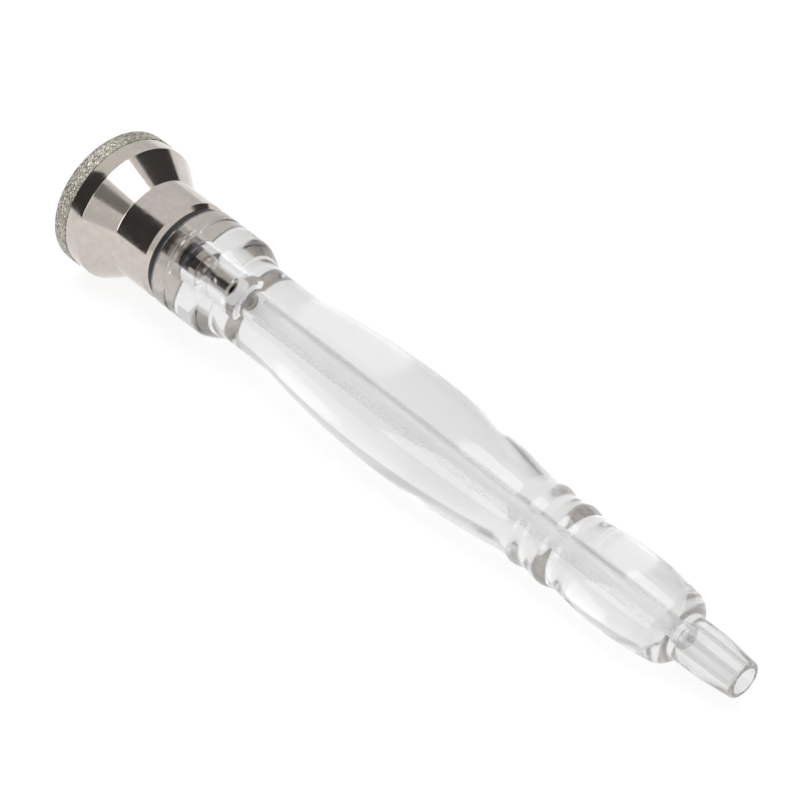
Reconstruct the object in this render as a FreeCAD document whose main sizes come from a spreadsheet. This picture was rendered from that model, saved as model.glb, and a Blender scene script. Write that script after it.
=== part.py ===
import FreeCAD, Part
import os
import re

import Sketcher

# A hand-held suction wand: a clear turned handle with a hose nozzle at its rear end, and a plated tip
# with a grit-coated rim that pushes into a socket at its front end. Every piece is turned about the X axis.
# The outlines measure x from the tip's working face, and the radius upwards. All sizes are in millimetres.

# Driving sizes: alias, value, what it measures
SIZES = [
    ("rim_radius", "11.05", "outside of the grit-coated rim"),
    ("rim_round", "1.15", "round on the rim's outer edge"),
    ("rim_wall", "2.65", "width of the rim from its outside to the cup"),
    ("grit_thickness", "0.25", "thickness of the bonded grit layer"),
    ("grit_length", "2.95", "how far the grit reaches back from the working face"),
    ("band_step", "0.15", "step from the grit down to the bright band"),
    ("band_length", "2.75", "length of the bright band"),
    ("cone_length", "4.5", "length of the cone behind the band"),
    ("collar_radius", "8.0", "collar behind the cone"),
    ("collar_length", "7.2", "length of the collar"),
    ("collar_chamfer", "0.6", "chamfer on the collar's rear edge"),
    ("cup_depth", "4.6", "straight depth of the suction cup"),
    ("cup_cone_length", "3.0", "length of the cup's conical floor"),
    ("suction_radius", "1.0", "bore through the stem"),
    ("guide_radius", "1.95", "stem where the socket guides it"),
    ("guide_clearance", "0.15", "radial clearance of the stem in the socket"),
    ("stem_reach", "9.6", "how far the stem reaches into the handle"),
    ("stem_land", "1.2", "guide land behind the stem seal"),
    ("nose_radius", "1.75", "stem behind the guide land"),
    ("nose_chamfer", "0.3", "chamfer on the stem's end"),
    ("seal_gap", "0.05", "clearance between a rubber seal and its seats"),
    ("seal_round", "0.35", "round on the outer edges of the seals"),
    ("collar_seal_radius", "7.6", "outside of the seal behind the collar"),
    ("collar_seal_thickness", "1.1", "thickness of the seal behind the collar"),
    ("boss_radius", "6.95", "boss that centres the collar seal"),
    ("stem_seal_inset", "1.3", "from the handle's mouth to the stem seal"),
    ("stem_seal_length", "2.0", "length of the stem seal"),
    ("stem_seal_depth", "0.5", "depth of the stem seal's groove"),
    ("mouth_radius", "8.03", "collar at the handle's mouth"),
    ("mouth_length", "2.75", "length of the mouth collar"),
    ("mouth_edge", "0.3", "chamfer on the mouth's outer edge"),
    ("mouth_groove_width", "0.6", "V groove behind the mouth collar"),
    ("mouth_groove_depth", "0.35", "depth of that groove"),
    ("bead_radius", "8.06", "crest of the front bead"),
    ("bead_length", "5.8", "front bead, from the groove to its shoulder"),
    ("shoulder_radius", "7.99", "front bead at its shoulder"),
    ("shoulder_length", "3.5", "sloping shoulder behind the front bead"),
    ("shoulder_round", "3.0", "round at the top of the shoulder"),
    ("neck_radius", "6.23", "neck between the front bead and the grip"),
    ("neck_length", "9.7", "length of the neck"),
    ("neck_round", "2.5", "hollow round at the foot of the shoulder"),
    ("grip_radius", "7.96", "grip where it is fullest"),
    ("grip_length", "47.2", "length of the swelling grip"),
    ("waist_radius", "5.92", "waist between the grip and the rear beads"),
    ("rear_bead_radius", "6.33", "crest of the first rear bead"),
    ("rear_bead_length", "4.05", "length of the first rear bead"),
    ("rear_groove_radius", "5.76", "groove between the rear beads"),
    ("last_bead_radius", "6.29", "crest of the second rear bead"),
    ("last_bead_length", "5.75", "length of the second rear bead"),
    ("tail_groove_radius", "5.65", "groove between the rear beads and the tail"),
    ("tail_radius", "6.27", "tail where it is fullest"),
    ("tail_length", "16.1", "length of the tail, up to its rounded end"),
    ("tail_end_radius", "5.61", "tail where its rounded end starts"),
    ("tail_end_length", "2.85", "length of the tail's rounded end"),
    ("tail_end_crown", "4.75", "tail's rounded end, at its crown"),
    ("tail_end_crown_at", "2.1", "from the start of the rounded end to its crown"),
    ("nozzle_radius", "3.36", "hose nozzle"),
    ("nozzle_length", "4.9", "straight length of the nozzle"),
    ("nozzle_taper", "5.6", "length of the nozzle's tapered end"),
    ("nozzle_end_radius", "2.75", "small end of the taper"),
    ("nozzle_round", "0.45", "round on the nozzle's end"),
    ("nozzle_fillet", "0.4", "hollow round at the nozzle's root"),
    ("socket_lead", "0.4", "lead-in chamfer at the socket's mouth"),
    ("socket_spare", "4.2", "space behind the end of the stem"),
    ("socket_round", "0.6", "round at the bottom of the socket"),
    ("pilot_radius", "1.4", "short hole that runs on from the socket"),
    ("pilot_length", "2.8", "length of that hole"),
    ("bore_radius", "1.1", "air bore from that hole to the nozzle"),
    ("hose_bore_radius", "2.0", "wider bore in the nozzle"),
    ("hose_bore_length", "9.86", "depth of the wider bore, from the nozzle's end"),
    ("drill_slope", "0.6", "length of the drill's point per unit of radius"),
    ("seam_turn", "6.8", "turn about the axis, in degrees: a flat of the meshed rim is underneath"),
]

# Sizes that follow from the driving ones
DERIVED = [
    ("cup_radius", "=rim_radius - rim_wall", "inside of the rim"),
    ("band_radius", "=rim_radius - band_step", "bright band behind the grit"),
    ("band_end", "=grit_length + band_length", "edge between band and cone"),
    ("cone_end", "=band_end + cone_length", "edge between cone and collar"),
    ("collar_end", "=cone_end + collar_length", "collar's rear face"),
    ("collar_seal_start", "=collar_end + seal_gap", "front face of the collar seal"),
    ("collar_seal_end", "=collar_seal_start + collar_seal_thickness", "rear face of the collar seal"),
    ("boss_end", "=collar_seal_end", "end of the boss, level with the collar seal"),
    ("mouth_face", "=collar_seal_end + seal_gap", "front face of the handle"),
    ("stem_seal_start", "=mouth_face + stem_seal_inset", "front end of the stem seal"),
    ("stem_seal_end", "=stem_seal_start + stem_seal_length", "rear end of the stem seal"),
    ("stem_groove_radius", "=guide_radius - stem_seal_depth", "floor of the stem seal's groove"),
    ("land_end", "=stem_seal_end + seal_gap + stem_land", "end of the guide land"),
    ("stem_end", "=mouth_face + stem_reach", "end of the stem"),
    ("socket_radius", "=guide_radius + guide_clearance", "socket in the handle"),
    ("socket_end", "=stem_end + socket_spare", "bottom of the socket"),
    ("pilot_end", "=socket_end + pilot_length", "bottom of the pilot hole"),
    ("mouth_end", "=mouth_face + mouth_length", "front lip of the mouth groove"),
    ("groove_radius", "=mouth_radius - mouth_groove_depth", "floor of the mouth groove"),
    ("bead_start", "=mouth_end + mouth_groove_width", "rear lip of the mouth groove"),
    ("bead_end", "=bead_start + bead_length", "top of the shoulder"),
    ("shoulder_end", "=bead_end + shoulder_length", "foot of the shoulder"),
    ("neck_end", "=shoulder_end + neck_length", "where the grip starts to swell"),
    ("grip_end", "=neck_end + grip_length", "waist behind the grip"),
    ("rear_bead_end", "=grip_end + rear_bead_length", "groove between the rear beads"),
    ("last_bead_end", "=rear_bead_end + last_bead_length", "groove in front of the tail"),
    ("tail_end", "=last_bead_end + tail_length", "start of the tail's rounded end"),
    ("nozzle_root", "=tail_end + tail_end_length", "root of the nozzle"),
    ("nozzle_end", "=nozzle_root + nozzle_length", "start of the nozzle's taper"),
    ("overall_length", "=nozzle_end + nozzle_taper", "from the working face to the nozzle's end"),
    ("hose_bore_start", "=overall_length - hose_bore_length", "where the wider bore is full size"),
    ("bore_end", "=hose_bore_start - drill_slope * (hose_bore_radius - bore_radius)", "end of the air bore"),
]

AXIS = "0"

doc = FreeCAD.newDocument("suction_wand")
sheet = doc.addObject("Spreadsheet::Sheet", "dims")


def fill_sheet(rows):
    """Writes each size into the sheet, with its alias and what it measures."""
    for row, (alias, content, note) in enumerate(rows, start=1):
        sheet.set(f"A{row}", alias)
        sheet.set(f"B{row}", content)
        sheet.setAlias(f"B{row}", alias)
        sheet.set(f"C{row}", note)
    doc.recompute()


def bound(expression):
    """The expression with every size in it read from the sheet."""
    return re.sub(r"[a-z]\w+", r"dims.\g<0>", expression)


def size(expression):
    """The expression's present value."""
    return float(sheet.evalExpression(bound(expression)))


def spot(x, radius):
    return FreeCAD.Vector(size(x), size(radius), 0)


def end_at(sketch, edge, place):
    """Which end of a sketch edge lies at a place: 1 for its start, 2 for its end."""
    gaps = [sketch.getPoint(edge, end).distanceToPoint(place) for end in (1, 2)]
    return 1 if gaps[0] < gaps[1] else 2


def pin_point(sketch, geometry, end, x, radius):
    """Ties a sketch point to its two sizes. A point on the turning axis lies on the sketch's own axis."""
    for kind, expression, axis in (("DistanceX", x, -2), ("DistanceY", radius, -1)):
        if expression == AXIS:
            sketch.addConstraint(Sketcher.Constraint("PointOnObject", geometry, end, axis))
        else:
            rule = Sketcher.Constraint(kind, -1, 1, geometry, end, size(expression))
            index = sketch.addConstraint(rule)
            sketch.setExpression(f"Constraints[{index}]", bound(expression))


def outline_sketch(body, name, points):
    """A closed outline on the body's XZ plane, from points (x, radius). A point that carries two more
    expressions starts an arc, which passes through that second place on its way to the next point."""
    sketch = body.newObject("Sketcher::SketchObject", name)
    plane = next(p for p in body.Origin.OriginFeatures if p.Role == "XZ_Plane")
    sketch.AttachmentSupport = [(plane, "")]
    sketch.MapMode = "FlatFace"
    spots = [spot(*point[:2]) for point in points]
    count = len(points)
    for edge, point in enumerate(points):
        here, there = spots[edge], spots[(edge + 1) % count]
        if len(point) == 4:
            sketch.addGeometry(Part.Arc(here, spot(*point[2:]), there), False)
        else:
            sketch.addGeometry(Part.LineSegment(here, there), False)
    for edge, point in enumerate(points):
        start = end_at(sketch, edge, spots[edge])
        before = (edge - 1) % count
        join = Sketcher.Constraint("Coincident", before, end_at(sketch, before, spots[edge]), edge, start)
        sketch.addConstraint(join)
        pin_point(sketch, edge, start, *point[:2])
        if len(point) == 4:
            crown = sketch.addGeometry(Part.Point(spot(*point[2:])), True)
            pin_point(sketch, crown, 1, *point[2:])
            sketch.addConstraint(Sketcher.Constraint("PointOnObject", crown, 1, edge))
    return sketch


def new_body(label):
    """An empty piece, placed so that the nozzle's end lies at the origin."""
    body = doc.addObject("PartDesign::Body", label)
    body.Label = label
    body.Placement = FreeCAD.Placement(FreeCAD.Vector(), FreeCAD.Rotation(FreeCAD.Vector(1, 0, 0), 1))
    body.setExpression("Placement.Base.x", "-dims.overall_length")
    body.setExpression("Placement.Rotation.Angle", "dims.seam_turn")
    return body


def turn(body, kind, name, points):
    """Turns an outline about the X axis, as solid (Revolution) or as a hollow (Groove)."""
    before = body.Tip.Shape.Volume if body.Tip else 0
    sketch = outline_sketch(body, f"{name}_outline", points)
    feature = body.newObject(f"PartDesign::{kind}", name)
    feature.Profile = sketch
    feature.ReferenceAxis = (sketch, ["H_Axis"])
    feature.Angle = 360
    doc.recompute()
    grown = feature.Shape.Volume - before
    if (grown > 0) != (kind == "Revolution"):
        raise RuntimeError(f"{name} changed the volume the wrong way")
    return feature


def round_edge(body, name, radius, *places):
    """Rounds the circular edges that lie at the given places (x, radius)."""
    base = body.Tip
    names = []
    for x, ring in places:
        for number, edge in enumerate(base.Shape.Edges, start=1):
            circle = edge.Curve
            if not isinstance(circle, Part.Circle):
                continue
            miss = abs(circle.Center.x - size(x)) + abs(circle.Radius - size(ring))
            if miss < 1e-4:
                names.append(f"Edge{number}")
    if len(names) != len(places):
        raise RuntimeError(f"{name} found {len(names)} edges for {len(places)} places")
    fillet = body.newObject("PartDesign::Fillet", name)
    fillet.Base = (base, names)
    fillet.setExpression("Radius", bound(radius))
    doc.recompute()
    return fillet


def make_grit_rim():
    """The bonded grit layer: a thin ring over the rim's face and its outside."""
    body = new_body("grit_rim")
    inner = "rim_radius - grit_thickness"
    turn(body, "Revolution", "grit_layer", [
        (AXIS, "cup_radius"),
        (AXIS, "rim_radius"),
        ("grit_length", "rim_radius"),
        ("grit_length", inner),
        ("grit_thickness", inner),
        ("grit_thickness", "cup_radius"),
    ])
    round_edge(body, "grit_edge", "rim_round", (AXIS, "rim_radius"))
    round_edge(body, "grit_seat", "rim_round - grit_thickness", ("grit_thickness", inner))
    return body


def make_tip_head():
    """The plated tip: rim, band, cone and collar, then the boss and stem that enter the handle."""
    body = new_body("tip_head")
    seat = "rim_radius - grit_thickness"
    turn(body, "Revolution", "tip_outside", [
        ("grit_thickness", AXIS),
        ("grit_thickness", seat),
        ("grit_length", seat),
        ("grit_length", "band_radius"),
        ("band_end", "band_radius"),
        ("cone_end", "collar_radius"),
        ("collar_end - collar_chamfer", "collar_radius"),
        ("collar_end", "collar_radius - collar_chamfer"),
        ("collar_end", "boss_radius"),
        ("boss_end", "boss_radius"),
        ("boss_end", "guide_radius"),
        ("stem_seal_start - seal_gap", "guide_radius"),
        ("stem_seal_start - seal_gap", "stem_groove_radius"),
        ("stem_seal_end + seal_gap", "stem_groove_radius"),
        ("stem_seal_end + seal_gap", "guide_radius"),
        ("land_end", "guide_radius"),
        ("land_end", "nose_radius"),
        ("stem_end - nose_chamfer", "nose_radius"),
        ("stem_end", "nose_radius - nose_chamfer"),
        ("stem_end", AXIS),
    ])
    round_edge(body, "rim_edge", "rim_round - grit_thickness", ("grit_thickness", seat))
    turn(body, "Groove", "cup_and_suction_bore", [
        ("grit_thickness", AXIS),
        ("grit_thickness", "cup_radius"),
        ("cup_depth", "cup_radius"),
        ("cup_depth + cup_cone_length", "suction_radius"),
        ("stem_end", "suction_radius"),
        ("stem_end", AXIS),
    ])
    return body


def make_collar_seal():
    """The rubber ring between the tip's collar and the handle's mouth, centred on the boss."""
    body = new_body("collar_seal")
    turn(body, "Revolution", "collar_ring", [
        ("collar_seal_start", "boss_radius + seal_gap"),
        ("collar_seal_start", "collar_seal_radius"),
        ("collar_seal_end", "collar_seal_radius"),
        ("collar_seal_end", "boss_radius + seal_gap"),
    ])
    edges = [(face, "collar_seal_radius") for face in ("collar_seal_start", "collar_seal_end")]
    round_edge(body, "collar_ring_edges", "seal_round", *edges)
    return body


def make_stem_seal():
    """The rubber ring in the stem's groove, which grips the socket's wall."""
    body = new_body("stem_seal")
    outside = "socket_radius - seal_gap"
    turn(body, "Revolution", "stem_ring", [
        ("stem_seal_start", "stem_groove_radius + seal_gap"),
        ("stem_seal_start", outside),
        ("stem_seal_end", outside),
        ("stem_seal_end", "stem_groove_radius + seal_gap"),
    ])
    edges = [(face, outside) for face in ("stem_seal_start", "stem_seal_end")]
    round_edge(body, "stem_ring_edges", "seal_round", *edges)
    return body


def make_handle():
    """The clear handle: turned outside, then drilled from both ends."""
    body = new_body("handle")
    turn(body, "Revolution", "handle_outside", [
        ("mouth_face", AXIS),
        ("mouth_face", "mouth_radius - mouth_edge"),
        ("mouth_face + mouth_edge", "mouth_radius"),
        ("mouth_end", "mouth_radius"),
        ("mouth_end + mouth_groove_width / 2", "groove_radius"),
        ("bead_start", "mouth_radius", "bead_start + bead_length / 2", "bead_radius"),
        ("bead_end", "shoulder_radius"),
        ("shoulder_end", "neck_radius"),
        ("neck_end", "neck_radius", "neck_end + grip_length / 2", "grip_radius"),
        ("grip_end", "waist_radius", "grip_end + rear_bead_length / 2", "rear_bead_radius"),
        ("rear_bead_end", "rear_groove_radius", "rear_bead_end + last_bead_length / 2", "last_bead_radius"),
        ("last_bead_end", "tail_groove_radius", "last_bead_end + tail_length / 2", "tail_radius"),
        ("tail_end", "tail_end_radius", "tail_end + tail_end_crown_at", "tail_end_crown"),
        ("nozzle_root", "nozzle_radius"),
        ("nozzle_end", "nozzle_radius"),
        ("overall_length", "nozzle_end_radius"),
        ("overall_length", AXIS),
    ])
    round_edge(body, "shoulder_top", "shoulder_round", ("bead_end", "shoulder_radius"))
    round_edge(body, "shoulder_foot", "neck_round", ("shoulder_end", "neck_radius"))
    round_edge(body, "nozzle_root_fillet", "nozzle_fillet", ("nozzle_root", "nozzle_radius"))
    round_edge(body, "nozzle_lip", "nozzle_round", ("overall_length", "nozzle_end_radius"))
    turn(body, "Groove", "socket_and_bore", [
        ("mouth_face", AXIS),
        ("mouth_face", "socket_radius + socket_lead"),
        ("mouth_face + socket_lead", "socket_radius"),
        ("socket_end", "socket_radius"),
        ("socket_end", "pilot_radius"),
        ("pilot_end", "pilot_radius"),
        ("pilot_end", "bore_radius"),
        ("bore_end", "bore_radius"),
        ("hose_bore_start", "hose_bore_radius"),
        ("overall_length", "hose_bore_radius"),
        ("overall_length", AXIS),
    ])
    round_edge(body, "socket_bottom", "socket_round", ("socket_end", "socket_radius"))
    return body


def check(bodies):
    """Stops if anything in the document failed, or a piece isn't one sound solid."""
    doc.recompute()
    failed = [o.Label for o in doc.Objects if {"Invalid", "Error"} & set(o.State)]
    sketches = [o for o in doc.Objects if o.TypeId == "Sketcher::SketchObject"]
    loose = [s.Label for s in sketches if not s.FullyConstrained]
    shapes = {b.Label: b.Shape for b in bodies}
    unsound = [n for n, s in shapes.items() if s.isNull() or not s.isValid() or len(s.Solids) != 1]
    if failed or loose or unsound:
        raise RuntimeError(f"failed {failed}, loose sketches {loose}, unsound solids {unsound}")


fill_sheet(SIZES + DERIVED)
pieces = [make_grit_rim(), make_tip_head(), make_collar_seal(), make_stem_seal(), make_handle()]
check(pieces)
os.makedirs("parts", exist_ok=True)
for piece in pieces:
    piece.Shape.exportStep(f"parts/{piece.Label}.step")
    box = piece.Shape.BoundBox
    print(f"{piece.Label}: x {box.XMin:.2f} to {box.XMax:.2f}, volume {piece.Shape.Volume:.1f}")
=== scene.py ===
import math

import bmesh
import bpy
from mathutils import Matrix, Vector, noise


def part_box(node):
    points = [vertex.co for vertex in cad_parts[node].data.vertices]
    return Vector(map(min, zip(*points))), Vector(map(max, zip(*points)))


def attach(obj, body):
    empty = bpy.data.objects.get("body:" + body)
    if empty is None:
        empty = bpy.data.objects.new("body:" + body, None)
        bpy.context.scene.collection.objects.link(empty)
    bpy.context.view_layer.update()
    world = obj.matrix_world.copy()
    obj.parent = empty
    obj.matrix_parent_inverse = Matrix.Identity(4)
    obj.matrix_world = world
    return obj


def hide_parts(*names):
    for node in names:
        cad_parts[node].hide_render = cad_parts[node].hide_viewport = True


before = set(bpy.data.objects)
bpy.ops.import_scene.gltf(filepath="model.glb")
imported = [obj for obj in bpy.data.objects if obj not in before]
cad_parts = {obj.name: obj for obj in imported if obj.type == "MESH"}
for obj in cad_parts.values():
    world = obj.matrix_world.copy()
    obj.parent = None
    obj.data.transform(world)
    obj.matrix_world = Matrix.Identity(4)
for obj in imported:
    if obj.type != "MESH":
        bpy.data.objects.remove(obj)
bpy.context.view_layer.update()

# Places along the wand are in millimetres from the tip's working face, and radii are in millimetres.
MM = 0.001
FACE_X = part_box("grit_rim")[0].x

# How finely round forms are divided: around the wand, around the grit, and along the outline's curves
RING_STEPS = 160
GRIT_RING_STEPS = 560
ROUND_STEPS = 6
BEND_STEPS = 14
GRIP_STEPS = 96
BEAD_STEPS = 20
TAIL_STEPS = 64
SHARP_ANGLE = math.radians(28)

# The handle's mouth. The boss and the collar seal press on it by a hair, or the clear face would hide them.
MOUTH_FACE = 18.6
SEAL_PRESS = 0.01

# Sizes of the metal tip and its grit
RIM_RADIUS = 11.05
RIM_ROUND = 1.15
CUP_RADIUS = 8.4
GRIT_THICKNESS = 0.25
GRIT_LENGTH = 2.95
GRIT_GRAIN = 0.26
GRIT_DEPTH = 0.15
GRIT_STEP = 0.12
BAND_RADIUS = 10.9
BAND_END = 5.7
CONE_END = 10.2
COLLAR_RADIUS = 8.0
COLLAR_END = 17.4
COLLAR_CHAMFER = 0.6
BAND_EDGE = 0.15
CONE_FILLET = 0.4
CUP_DEPTH = 4.6
CUP_FLOOR_END = 7.6
SUCTION_RADIUS = 1.0
BOSS_RADIUS = 6.95
BOSS_END = MOUTH_FACE + SEAL_PRESS
GUIDE_RADIUS = 1.95
STEM_GROOVE_RADIUS = 1.45
STEM_GROOVE = (19.85, 21.95)
LAND_END = 23.15
NOSE_RADIUS = 1.75
NOSE_CHAMFER = 0.3
STEM_END = 28.2

# Sizes of the rubber seals
COLLAR_SEAL = (17.45, MOUTH_FACE + SEAL_PRESS)
COLLAR_SEAL_RADII = (7.0, 7.6)
STEM_SEAL = (19.9, 21.9)
STEM_SEAL_RADII = (1.5, 2.05)
SEAL_ROUND = 0.35

# Sizes of the clear handle, outside
MOUTH_EDGE = 0.3
MOUTH_RADIUS = 8.03
MOUTH_END = 21.35
MOUTH_GROOVE = (21.65, 7.68)
BEAD_START = 21.95
BEAD_CREST = (24.85, 8.06)
SHOULDER_TOP = (27.75, 7.99)
SHOULDER_FOOT = (31.25, 6.23)
NECK_END = (40.95, 6.23)
GRIP_CREST = (64.55, 7.96)
WAIST = (88.15, 5.92)
TAIL_GROOVE = (97.95, 5.65)
TAIL_CREST = (106.0, 6.27)
TAIL_END = (114.05, 5.61)
TAIL_CROWN = (116.15, 4.75)
NOZZLE_ROOT = (116.9, 3.36)
NOZZLE_SHOULDER = (121.8, 3.36)
NOZZLE_TIP = (127.4, 2.75)
SHOULDER_ROUND = 3.0
NECK_ROUND = 2.5
NOZZLE_FILLET = 0.4
NOZZLE_LIP = 0.45

# The rear beads and the soft grooves beside them, each a place and its radius. The run of beads leaves the
# grip's curve at the first place of its span, and joins the tail's curve at the last.
BEAD_RUN = ((88.35, 6.02), (90.175, 6.33), (92.2, 5.9), (95.075, 6.29), (97.9, 5.7))
BEAD_RUN_SPAN = (87.0, 99.0)

# Sizes of the clear handle, inside
SOCKET_RADIUS = 2.1
SOCKET_LEAD = 0.4
SOCKET_END = 32.4
SOCKET_ROUND = 0.6
PILOT_RADIUS = 1.4
PILOT_END = 35.2
BORE_RADIUS = 1.1
BORE_END = 117.0
HOSE_BORE_RADIUS = 2.0
HOSE_BORE_START = 117.54

# The camera, as the photograph was taken, with its angles from the floor that the wand lies on
PHOTO_AZIMUTH = 47.0
PHOTO_ELEVATION = 41.73
PHOTO_DISTANCE = 483.36
PHOTO_AIM = (60.84, 1.50, 1.08)
PHOTO_LENS = 157.5
SENSOR_WIDTH = 36

# How strongly light is bent by the acrylic
ACRYLIC_IOR = 1.49

# The studio: shades of the surround by height, from -1 straight below to 1 straight above
SURROUND = ((-1, "#FFFFFF"), (0.0, "#E4E4E4"), (0.25, "#E4E4E4"), (0.5, "#F2F1F0"), (1, "#F2F1F0"))
FLOOR_SIZE = 3
FLOOR_GLOW = 0.84
MATT = 0.9
CLEAR_BOUNCES = 32

# Softboxes: width and height in metres, the way to them from the tip, and their radiance
SOFTBOX_DISTANCE = 0.7
SOFTBOXES = {
    "overhead_box": ((0.48, 0.54), (0.1, 0.0, 0.99), 3.2),
    "front_box": ((0.4, 0.45), (-0.18, -0.88, 0.42), 2.0),
}

# Cards: width and height in metres, the way to them from the tip, their shade, and their distance
CARDS = {
    "front_flag": ((0.42, 0.62), (-0.6, -0.62, 0.42), "#2E2D2D", 0.6),
    "rear_flag": ((0.5, 0.6), (0.2, 0.86, 0.5), "#3A3938", 0.6),
    "camera_side_card": ((0.34, 0.26), (0.49, -0.55, 0.68), "#848280", 0.8),
}


def colour(hex_code):
    """Linear RGBA for an sRGB hex value."""
    channels = [int(hex_code[i:i + 2], 16) / 255 for i in (1, 3, 5)]
    linear = [c / 12.92 if c <= 0.04045 else ((c + 0.055) / 1.055) ** 2.4 for c in channels]
    return (*linear, 1)


def fill(owner, made, **inputs):
    """Fills a node's inputs. A socket is linked to its input, and anything else becomes the input's value."""
    for name, value in inputs.items():
        socket = made.inputs[name.replace("_", " ")]
        if isinstance(value, bpy.types.NodeSocket):
            owner.node_tree.links.new(value, socket)
        else:
            socket.default_value = value
    return made


def node(owner, kind, **inputs):
    """Adds a node to a material or a world, and fills its inputs."""
    return fill(owner, owner.node_tree.nodes.new(kind), **inputs)


def new_material(name):
    """A material with its main shader, and the place on the piece as a socket."""
    material = bpy.data.materials.new(name)
    material.use_nodes = True
    place = node(material, "ShaderNodeTexCoord").outputs["Object"]
    return material, material.node_tree.nodes["Principled BSDF"], place


def polished_acrylic():
    """Cast acrylic rod, turned and polished: water clear, with faint waves that the polishing left. Its light
    grey tint is painted shade: it evenly dims all that is seen through the handle, standing in for the
    floor's shade under the wand.
    """
    material, shader, place = new_material("polished_acrylic")
    waves = node(material, "ShaderNodeTexNoise", Vector=place, Scale=1 / (6 * MM), Detail=1.0)
    bump = node(material, "ShaderNodeBump", Height=waves.outputs["Fac"], Strength=0.05, Distance=0.05 * MM)
    # The light grey base colour is painted shade, not a tint of the acrylic itself.
    fill(material, shader, Base_Color=colour("#E7E7E7"), Roughness=0.08, IOR=ACRYLIC_IOR,
         Transmission_Weight=1, Normal=bump.outputs["Normal"])
    return material


def drilled_acrylic():
    """The long bore's wall, as the drill left it: clear but hazy, in some stretches more than in others."""
    material, shader, place = new_material("drilled_acrylic")
    along = node(material, "ShaderNodeMapping", Vector=place, Scale=(1, 0.1, 0.1))
    stretches = node(material, "ShaderNodeTexNoise", Vector=along.outputs["Vector"], Scale=1 / (8 * MM))
    haze = node(material, "ShaderNodeMapRange", Value=stretches.outputs["Fac"], To_Min=0.3, To_Max=0.6)
    fill(material, shader, Base_Color=colour("#FFFFFF"), Roughness=haze.outputs["Result"], IOR=ACRYLIC_IOR,
         Transmission_Weight=1)
    return material


def nickel_plate():
    """Bright nickel over turned brass: a warm grey mirror with fine turning rings, clouded here and there."""
    material, shader, place = new_material("nickel_plate")
    clouds = node(material, "ShaderNodeTexNoise", Vector=place, Scale=1 / (1.2 * MM), Detail=5.0)
    tone = node(material, "ShaderNodeValToRGB", Fac=clouds.outputs["Fac"])
    dull, bright = tone.color_ramp.elements
    dull.position = 0.3
    dull.color = colour("#BEB7B0")
    bright.position = 0.7
    bright.color = colour("#C8C1B9")
    haze = node(material, "ShaderNodeMapRange", Value=clouds.outputs["Fac"], From_Min=0.3, From_Max=0.7,
                To_Min=0.17, To_Max=0.08)
    around = node(material, "ShaderNodeMapping", Vector=place, Scale=(1, 0.02, 0.02))
    rings = node(material, "ShaderNodeTexNoise", Vector=around.outputs["Vector"], Scale=1 / (0.3 * MM))
    bump = node(material, "ShaderNodeBump", Height=rings.outputs["Fac"], Strength=0.08, Distance=0.02 * MM)
    fill(material, shader, Base_Color=tone.outputs["Color"], Metallic=1, Roughness=haze.outputs["Result"],
         Normal=bump.outputs["Normal"])
    return material


def bonded_grit():
    """Diamond grains held in nickel, each with its own tone at random: the few pale ones are painted glints,
    standing in for grains that face the light and flash, and the rest stay dull.
    """
    material, shader, place = new_material("bonded_grit")
    grains = node(material, "ShaderNodeTexVoronoi", Vector=place, Scale=1 / (GRIT_GRAIN * MM))
    # Each grain's tone comes from its cell at random; the pale end of the ramp is a painted glint.
    tone = node(material, "ShaderNodeValToRGB", Fac=grains.outputs["Color"])
    dark, glinting = tone.color_ramp.elements
    dark.color = colour("#5C584D")
    glinting.color = colour("#CFCBBE")
    glinting.position = 0.9
    bump = node(material, "ShaderNodeBump", Height=grains.outputs["Distance"], Strength=0.8,
                Distance=0.12 * MM)
    fill(material, shader, Base_Color=tone.outputs["Color"], Metallic=0.7, Roughness=0.32,
         Normal=bump.outputs["Normal"])
    return material


def black_rubber():
    """Moulded nitrile rubber: black with a soft sheen, and a fine matt grain from the mould."""
    material, shader, place = new_material("black_rubber")
    grain = node(material, "ShaderNodeTexNoise", Vector=place, Scale=1 / (0.15 * MM), Detail=2.0)
    sheen = node(material, "ShaderNodeMapRange", Value=grain.outputs["Fac"], To_Min=0.38, To_Max=0.55)
    bump = node(material, "ShaderNodeBump", Height=grain.outputs["Fac"], Strength=0.15, Distance=0.03 * MM)
    fill(material, shader, Base_Color=colour("#0C0C0D"), Roughness=sheen.outputs["Result"], IOR=1.52,
         Normal=bump.outputs["Normal"])
    return material


def centre_of(start, crown, end):
    """The centre of the circle through three places."""
    (ax, ay), (bx, by), (cx, cy) = start, crown, end
    area = 2 * (ax * (by - cy) + bx * (cy - ay) + cx * (ay - by))
    a2, b2, c2 = ax * ax + ay * ay, bx * bx + by * by, cx * cx + cy * cy
    return Vector(((a2 * (by - cy) + b2 * (cy - ay) + c2 * (ay - by)) / area,
                   (a2 * (cx - bx) + b2 * (ax - cx) + c2 * (bx - ax)) / area))


def arc(start, crown, end, steps):
    """Places along the circle through three places, from start up to end, without end itself."""
    centre = centre_of(start, crown, end)
    first = Vector(start) - centre
    sweep = first.angle_signed(Vector(end) - centre)
    return [tuple(centre + Matrix.Rotation(-sweep * i / steps, 2) @ first) for i in range(steps)]


def joining(start, crown, end, x):
    """The place at x on the circle through three places: x, its radius there and its slope."""
    centre = centre_of(start, crown, end)
    rise = math.sqrt((Vector(start) - centre).length_squared - (x - centre.x) ** 2)
    return (x, centre.y + rise, (centre.x - x) / rise)


def rounded(before, corner, after, radius, steps=ROUND_STEPS):
    """Places along the round of that radius that eases the corner between two straight runs."""
    corner = Vector(corner)
    back = (Vector(before) - corner).normalized()
    ahead = (Vector(after) - corner).normalized()
    half = back.angle(ahead) / 2
    middle = (back + ahead).normalized()
    centre = corner + middle * (radius / math.sin(half))
    start = corner + back * (radius / math.tan(half))
    end = corner + ahead * (radius / math.tan(half))
    crown = centre - middle * radius
    return arc(start, crown, end, steps) + [tuple(end)]


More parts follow.
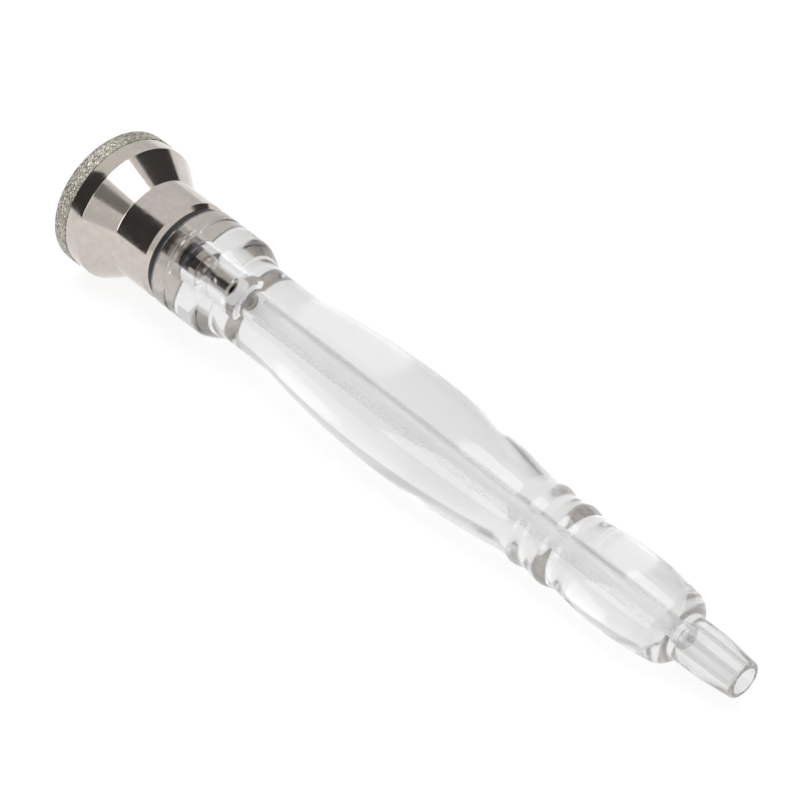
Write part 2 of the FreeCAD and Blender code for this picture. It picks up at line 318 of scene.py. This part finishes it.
def eased(start, end, steps):
    """Places along a smooth run between two places with given slopes, without the end itself."""
    (x0, r0, slope0), (x1, r1, slope1) = start, end
    length = x1 - x0
    places = []
    for i in range(steps):
        t = i / steps
        rise = t * t * (3 - 2 * t)
        leave = t * (1 - t) ** 2 * length * slope0
        arrive = t * t * (1 - t) * length * slope1
        places.append((x0 + length * t, r0 + (r1 - r0) * rise + leave - arrive))
    return places


def turned(name, outline, material, body, replaced, steps=RING_STEPS):
    """A piece turned about the wand's axis from a closed outline of places (x, radius)."""
    bm = bmesh.new()
    points = [bm.verts.new((FACE_X + x * MM, 0, radius * MM)) for x, radius in outline]
    edges = [bm.edges.new((a, b)) for a, b in zip(points, points[1:] + points[:1])]
    bmesh.ops.spin(bm, geom=points + edges, cent=(0, 0, 0), axis=(1, 0, 0), angle=math.tau, steps=steps,
                   use_merge=True)
    bmesh.ops.recalc_face_normals(bm, faces=bm.faces)
    mesh = bpy.data.meshes.new(name)
    bm.to_mesh(mesh)
    bm.free()
    mesh.shade_smooth()
    mesh.set_sharp_from_angle(angle=SHARP_ANGLE)
    mesh.materials.append(material)
    piece = bpy.data.objects.new(name, mesh)
    bpy.context.scene.collection.objects.link(piece)
    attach(piece, body)
    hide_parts(replaced)
    return piece


def clear_handle():
    """The handle's outside from its mouth to the nozzle, then its bores from the nozzle back to the mouth."""
    mouth_edge = (MOUTH_FACE + MOUTH_EDGE, MOUTH_RADIUS)
    outside = [(MOUTH_FACE, SOCKET_RADIUS + SOCKET_LEAD), (MOUTH_FACE, MOUTH_RADIUS - MOUTH_EDGE), mouth_edge]
    outside += [(MOUTH_END, MOUTH_RADIUS), MOUTH_GROOVE]
    bead = arc((BEAD_START, MOUTH_RADIUS), BEAD_CREST, SHOULDER_TOP, BEND_STEPS)
    top = rounded(bead[-2], SHOULDER_TOP, SHOULDER_FOOT, SHOULDER_ROUND)
    outside += bead[:-2] + top
    outside += rounded(SHOULDER_TOP, SHOULDER_FOOT, NECK_END, NECK_ROUND)
    grip = (NECK_END, GRIP_CREST, WAIST)
    tail = (TAIL_GROOVE, TAIL_CREST, TAIL_END)
    leave, join = BEAD_RUN_SPAN
    outside += [p for p in arc(*grip, GRIP_STEPS) if p[0] < leave]
    run = [joining(*grip, leave)] + [(x, radius, 0) for x, radius in BEAD_RUN] + [joining(*tail, join)]
    for start, end in zip(run, run[1:]):
        outside += eased(start, end, BEAD_STEPS)
    outside += [p for p in arc(*tail, TAIL_STEPS) if p[0] >= join]
    outside += arc(TAIL_END, TAIL_CROWN, NOZZLE_ROOT, BEND_STEPS)[:-2]
    outside += rounded(TAIL_CROWN, NOZZLE_ROOT, NOZZLE_SHOULDER, NOZZLE_FILLET)
    nozzle_face = (NOZZLE_TIP[0], HOSE_BORE_RADIUS)
    outside += [NOZZLE_SHOULDER] + rounded(NOZZLE_SHOULDER, NOZZLE_TIP, nozzle_face, NOZZLE_LIP)
    pilot_front = (SOCKET_END, PILOT_RADIUS)
    socket_mouth = (MOUTH_FACE + SOCKET_LEAD, SOCKET_RADIUS)
    inside = [nozzle_face, (HOSE_BORE_START, HOSE_BORE_RADIUS), (BORE_END, BORE_RADIUS)]
    inside += [(PILOT_END, BORE_RADIUS), (PILOT_END, PILOT_RADIUS), pilot_front]
    inside += rounded(pilot_front, (SOCKET_END, SOCKET_RADIUS), socket_mouth, SOCKET_ROUND) + [socket_mouth]
    handle = turned("clear_handle", outside + inside, polished_acrylic(), "handle", "handle")
    handle.data.materials.append(drilled_acrylic())
    for face in handle.data.polygons:
        if math.hypot(face.center.y, face.center.z) < BORE_RADIUS * MM:
            face.material_index = 1


def metal_tip():
    """The tip's outside from the rim to the end of the stem, then back along the suction bore and the cup."""
    seat = RIM_RADIUS - GRIT_THICKNESS
    front = (GRIT_THICKNESS, CUP_RADIUS)
    corner = (GRIT_THICKNESS, seat)
    outline = [front] + rounded(front, corner, (GRIT_LENGTH, seat), RIM_ROUND - GRIT_THICKNESS)
    band_front = (GRIT_LENGTH, BAND_RADIUS)
    band_rear = (BAND_END, BAND_RADIUS)
    cone_rear = (CONE_END, COLLAR_RADIUS)
    collar_rear = (COLLAR_END - COLLAR_CHAMFER, COLLAR_RADIUS)
    outline += [(GRIT_LENGTH, seat)] + rounded((GRIT_LENGTH, seat), band_front, band_rear, BAND_EDGE / 2)
    outline += rounded(band_front, band_rear, cone_rear, BAND_EDGE)
    outline += rounded(band_rear, cone_rear, collar_rear, CONE_FILLET)
    outline += [collar_rear, (COLLAR_END, COLLAR_RADIUS - COLLAR_CHAMFER), (COLLAR_END, BOSS_RADIUS)]
    outline += [(BOSS_END, BOSS_RADIUS), (BOSS_END, GUIDE_RADIUS), (STEM_GROOVE[0], GUIDE_RADIUS)]
    outline += [(STEM_GROOVE[0], STEM_GROOVE_RADIUS), (STEM_GROOVE[1], STEM_GROOVE_RADIUS)]
    outline += [(STEM_GROOVE[1], GUIDE_RADIUS), (LAND_END, GUIDE_RADIUS), (LAND_END, NOSE_RADIUS)]
    outline += [(STEM_END - NOSE_CHAMFER, NOSE_RADIUS), (STEM_END, NOSE_RADIUS - NOSE_CHAMFER)]
    outline += [(STEM_END, SUCTION_RADIUS), (CUP_FLOOR_END, SUCTION_RADIUS), (CUP_DEPTH, CUP_RADIUS)]
    turned("metal_tip", outline, nickel_plate(), "tip", "tip_head")


def rubber_ring(name, span, radii, replaced, material):
    """A rubber ring with its outer edges rounded."""
    (start, end), (inner, outer) = span, radii
    outline = [(start, inner)]
    outline += rounded((start, inner), (start, outer), (end, outer), SEAL_ROUND)
    outline += rounded((start, outer), (end, outer), (end, inner), SEAL_ROUND)
    outline += [(end, inner)]
    turned(name, outline, material, "seals", replaced)


def stepped(start, end, step):
    """Places along a straight run, no more than a step apart, without its end."""
    run = Vector(end) - Vector(start)
    count = math.ceil(run.length / step)
    return [tuple(Vector(start) + run * i / count) for i in range(count)]


def grit_coat():
    """The grit layer on the rim. Its grains stand as low domes, with their tops on the layer's surface."""
    seat = RIM_RADIUS - GRIT_THICKNESS
    bend = math.ceil(RIM_ROUND * math.pi / 2 / GRIT_STEP)
    edge = rounded((0, CUP_RADIUS), (0, RIM_RADIUS), (GRIT_LENGTH, RIM_RADIUS), RIM_ROUND, bend)
    outline = stepped((0, CUP_RADIUS), edge[0], GRIT_STEP) + edge[:-1]
    outline += stepped(edge[-1], (GRIT_LENGTH, RIM_RADIUS), GRIT_STEP)
    outline += [(GRIT_LENGTH, RIM_RADIUS), (GRIT_LENGTH, seat)]
    under = (GRIT_THICKNESS, seat)
    outline += rounded((GRIT_LENGTH, seat), under, (GRIT_THICKNESS, CUP_RADIUS), RIM_ROUND - GRIT_THICKNESS)
    outline += [(GRIT_THICKNESS, CUP_RADIUS)]
    coat = turned("grit_coat", outline, bonded_grit(), "tip", "grit_rim", GRIT_RING_STEPS)
    outward = [vertex.normal.copy() for vertex in coat.data.vertices]
    for vertex, normal in zip(coat.data.vertices, outward):
        x = (vertex.co.x - FACE_X) / MM
        radius = math.hypot(vertex.co.y, vertex.co.z) / MM
        if x < GRIT_THICKNESS / 2 or radius > seat + GRIT_THICKNESS / 2:
            nearest = noise.voronoi(vertex.co / (GRIT_GRAIN * MM))[0][0]
            vertex.co -= normal * min(nearest, 1) * GRIT_DEPTH * MM
    coat.data.set_sharp_from_angle(angle=math.pi)


def resting_floor():
    """The plane under the wand: it touches the rim and rises to touch the handle's tail."""
    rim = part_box("grit_rim")
    foot = Vector((rim[1].x, 0, rim[0].z))
    places = [v.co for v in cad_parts["handle"].data.vertices]
    slope = min((p.z - foot.z) / (p.x - foot.x) for p in places)
    return foot, Matrix.Rotation(-math.atan(slope), 4, "Y")


def white_floor(foot, upright):
    """A wide white sheet, bright enough to lose most of the wand's shadow."""
    material, shader, _ = new_material("white_sheet")
    fill(material, shader, Base_Color=colour("#757575"), Roughness=MATT, Emission_Color=colour("#FFFFFF"),
         Emission_Strength=FLOOR_GLOW)
    bm = bmesh.new()
    bmesh.ops.create_grid(bm, x_segments=1, y_segments=1, size=FLOOR_SIZE)
    bmesh.ops.transform(bm, matrix=Matrix.Translation(foot) @ upright, verts=bm.verts)
    mesh = bpy.data.meshes.new("floor")
    bm.to_mesh(mesh)
    bm.free()
    mesh.materials.append(material)
    floor = bpy.data.objects.new("floor", mesh)
    bpy.context.scene.collection.objects.link(floor)


def facing_tip(thing, direction, distance):
    """Puts a thing that way from the wand's tip, turned to face it."""
    aim = Vector((FACE_X + CONE_END * MM, 0, 0))
    away = Vector(direction).normalized()
    thing.location = aim + away * distance
    thing.rotation_mode = "QUATERNION"
    thing.rotation_quaternion = away.to_track_quat("Z", "Y")
    bpy.context.scene.collection.objects.link(thing)


def grey_card(name, size, direction, shade, distance):
    """A plain matt card that faces the wand's tip: the plated tip and the handle's edges mirror it."""
    material, shader, _ = new_material(name)
    fill(material, shader, Base_Color=colour(shade), Roughness=MATT)
    bm = bmesh.new()
    bmesh.ops.create_grid(bm, x_segments=1, y_segments=1, size=0.5)
    bmesh.ops.scale(bm, vec=(*size, 1), verts=bm.verts)
    mesh = bpy.data.meshes.new(name)
    bm.to_mesh(mesh)
    bm.free()
    mesh.materials.append(material)
    card = bpy.data.objects.new(name, mesh)
    facing_tip(card, direction, distance)


def softbox(name, size, direction, radiance):
    """A rectangular softbox that faces the wand's tip."""
    lamp = bpy.data.lights.new(name, "AREA")
    lamp.shape = "RECTANGLE"
    lamp.size, lamp.size_y = size
    lamp.energy = radiance * math.pi * size[0] * size[1]
    facing_tip(bpy.data.objects.new(name, lamp), direction, SOFTBOX_DISTANCE)


def studio_surround():
    """White below, a little greyer at the horizon, and pale above."""
    world = bpy.data.worlds.new("studio_surround")
    world.use_nodes = True
    place = node(world, "ShaderNodeTexCoord").outputs["Generated"]
    parts = node(world, "ShaderNodeSeparateXYZ", Vector=place)
    height = node(world, "ShaderNodeMapRange", Value=parts.outputs["Z"], From_Min=-1)
    tone = node(world, "ShaderNodeValToRGB", Fac=height.outputs["Result"])
    stops = tone.color_ramp.elements
    stops.remove(stops[1])
    stops[0].color = colour(SURROUND[0][1])
    for level, shade in SURROUND[1:]:
        stops.new((level + 1) / 2).color = colour(shade)
    fill(world, world.node_tree.nodes["Background"], Color=tone.outputs["Color"])
    bpy.context.scene.world = world


def photo_camera(upright):
    """The photograph's camera, set by its angles from the floor."""
    lens = bpy.data.cameras.new("photo_camera")
    lens.lens = PHOTO_LENS
    lens.sensor_width = SENSOR_WIDTH
    camera = bpy.data.objects.new("photo_camera", lens)
    bpy.context.scene.collection.objects.link(camera)
    azimuth = math.radians(PHOTO_AZIMUTH)
    elevation = math.radians(PHOTO_ELEVATION)
    away = Vector((math.sin(azimuth) * math.cos(elevation), -math.cos(azimuth) * math.cos(elevation),
                   math.sin(elevation)))
    aim = Vector((FACE_X + PHOTO_AIM[0] * MM, PHOTO_AIM[1] * MM, PHOTO_AIM[2] * MM))
    stand = Matrix.Translation(aim + upright.to_3x3() @ away * PHOTO_DISTANCE * MM)
    turn = (-away).to_track_quat("-Z", "Y").to_matrix().to_4x4()
    camera.matrix_world = stand @ upright @ turn
    bpy.context.scene.camera = camera


clear_handle()
metal_tip()
grit_coat()
rubber = black_rubber()
rubber_ring("collar_ring", COLLAR_SEAL, COLLAR_SEAL_RADII, "collar_seal", rubber)
rubber_ring("stem_ring", STEM_SEAL, STEM_SEAL_RADII, "stem_seal", rubber)

foot, upright = resting_floor()
white_floor(foot, upright)
photo_camera(upright)
for name, box in SOFTBOXES.items():
    softbox(name, *box)
for name, card in CARDS.items():
    grey_card(name, *card)
studio_surround()
view = bpy.context.scene.view_settings
view.view_transform = "Standard"
paths = bpy.context.scene.cycles
paths.max_bounces = CLEAR_BOUNCES
paths.transmission_bounces = CLEAR_BOUNCES
paths.glossy_bounces = CLEAR_BOUNCES
